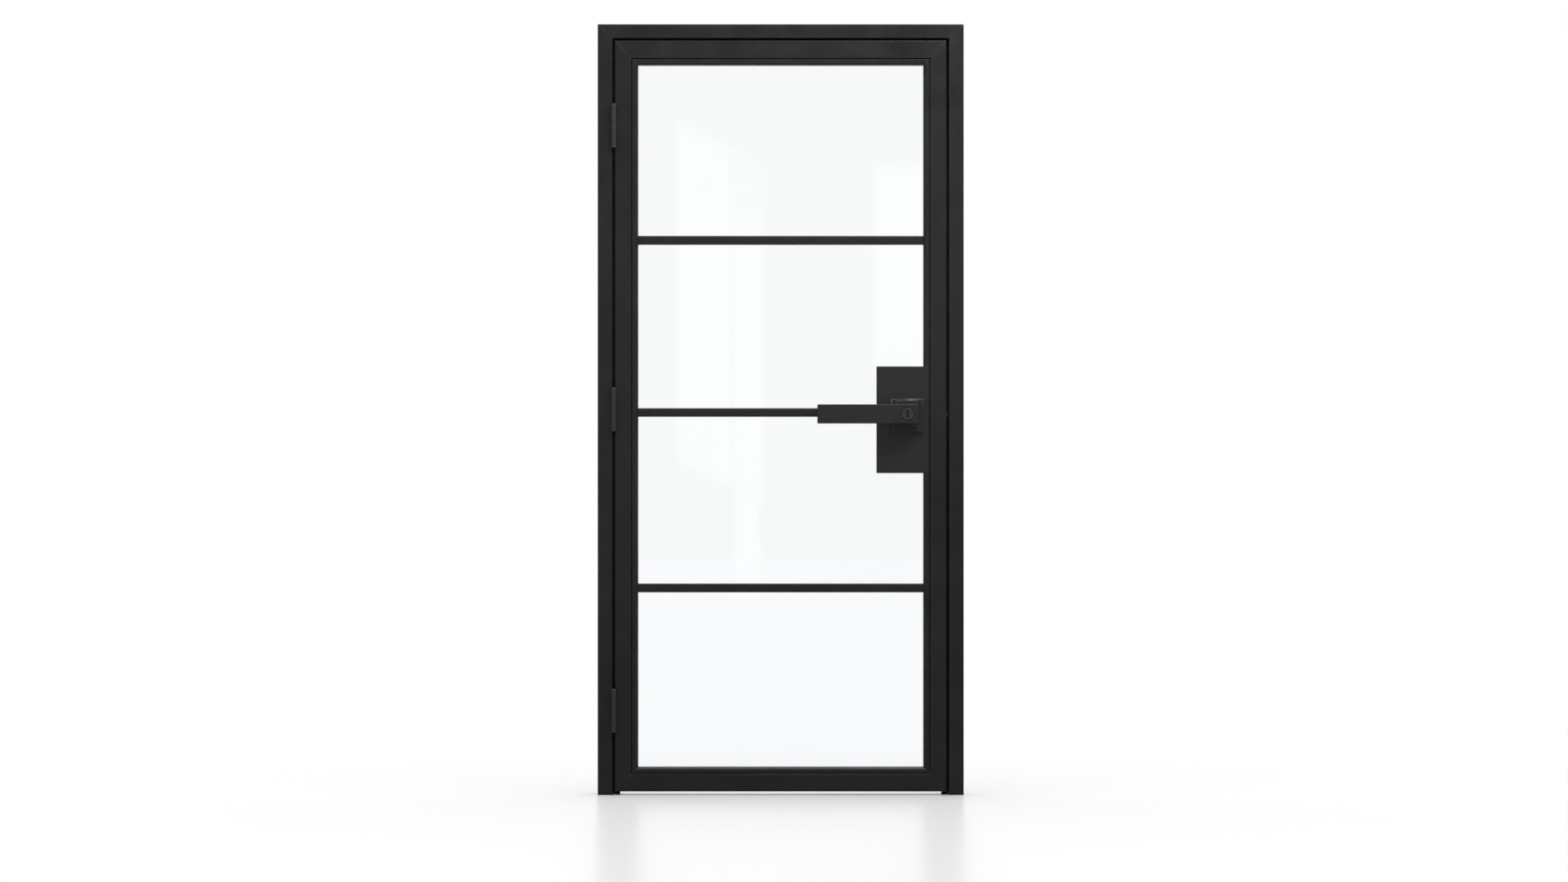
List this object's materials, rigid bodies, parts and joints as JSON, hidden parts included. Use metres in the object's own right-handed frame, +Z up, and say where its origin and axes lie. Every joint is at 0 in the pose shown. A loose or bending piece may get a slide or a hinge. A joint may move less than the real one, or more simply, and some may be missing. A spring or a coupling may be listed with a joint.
{
  "type": "glass door",
  "caption": "Black-framed glass swing door in its own frame, with horizontal glazing bars, butt hinges, a spring latch and a lever handle on each side",
  "frame": {"origin": "the middle of the whole door's footprint, on the floor under the frame", "axes": "+X from the hinges to the latch, +Y from the front to the back, +Z up"},
  "size_m": [1, 0.156, 2.106],
  "materials": {
    "profile": "satin black powder coat",
    "lock": "satin black powder coat",
    "lever": "satin black powder coat",
    "hardware": "satin black",
    "cylinder": "satin black",
    "steel": "zinc plated",
    "bearing": "black acetal",
    "cleat": "mill finish",
    "rubber": "matt",
    "glass": "clear polished"
  },
  "bodies": {
    "frame": {"jamb_hinge_side": "profile", "jamb_latch_side": "profile", "head": "profile", "frame_corner_cleats": "cleat", "seal_hinge_side": "rubber", "seal_latch_side": "rubber", "seal_head": "rubber", "strike_plate": "hardware", "strike_box": "steel", "strike_screws": "steel", "hinge_top_frame_leaf": "hardware", "hinge_mid_frame_leaf": "hardware", "hinge_low_frame_leaf": "hardware", "hinge_pins": "hardware", "hinge_frame_screws": "steel"},
    "leaf": {"stile_hinge_side": "profile", "stile_latch_side": "profile", "rail_top": "profile", "rail_bottom": "profile", "leaf_corner_cleats": "cleat", "glass_pane": "glass", "gasket_front": "rubber", "gasket_back": "rubber", "setting_blocks": "rubber", "bead_hinge_side": "profile", "bead_top": "profile", "bead_bottom": "profile", "bead_latch_upper": "profile", "bead_latch_lower": "profile", "bar_front_low": "profile", "bar_front_mid": "profile", "bar_front_high": "profile", "bar_back_low": "profile", "bar_back_mid": "profile", "bar_back_high": "profile", "hinge_top_door_leaf": "hardware", "hinge_mid_door_leaf": "hardware", "hinge_low_door_leaf": "hardware", "hinge_door_screws": "steel", "hinge_washers": "bearing", "lock_case": "lock", "lock_plate_front": "lock", "lock_plate_back": "lock", "lock_plate_screws": "steel", "rosette_front": "lever", "rosette_back": "lever", "rosette_bolts": "steel", "return_springs": "steel", "latch_housing": "hardware", "latch_faceplate": "hardware", "latch_screws": "steel", "latch_spring": "steel"},
    "levers": {"lever_front": "lever", "lever_back": "lever", "spindle": "steel", "follower": "steel", "lever_grub_screws": "steel", "key_cylinder": "cylinder"},
    "latch": {"latch_bolt": "hardware"},
    "plug": {"key_plug": "cylinder"}
  },
  "joints": [
    {"name": "door_swing", "type": "hinge", "parent": "frame", "child": "leaf", "pos_m": [-0.456, -0.0325, 1.053], "axis": [0, 0, -1], "range_deg": [0, 170]},
    {"name": "lever_turn", "type": "hinge", "parent": "leaf", "child": "levers", "pos_m": [0.3455, 0, 1.041], "axis": [0, -1, 0], "range_deg": [0, 45], "stiffness_Nm_per_rad": 1.3, "springref_deg": -85.94},
    {"name": "latch_slide", "type": "slide", "parent": "leaf", "child": "latch", "axis": [1, 0, 0], "range_m": [-0.008, 0]},
    {"name": "key_turn", "type": "hinge", "parent": "levers", "child": "plug", "pos_m": [0.3455, -0.07, 1.041], "axis": [0, 1, 0], "range_deg": [0, 90]}
  ],
  "couplings": [
    {"joint": "latch_slide", "follows": "lever_turn", "m_per_rad": -0.010185}
  ]
}
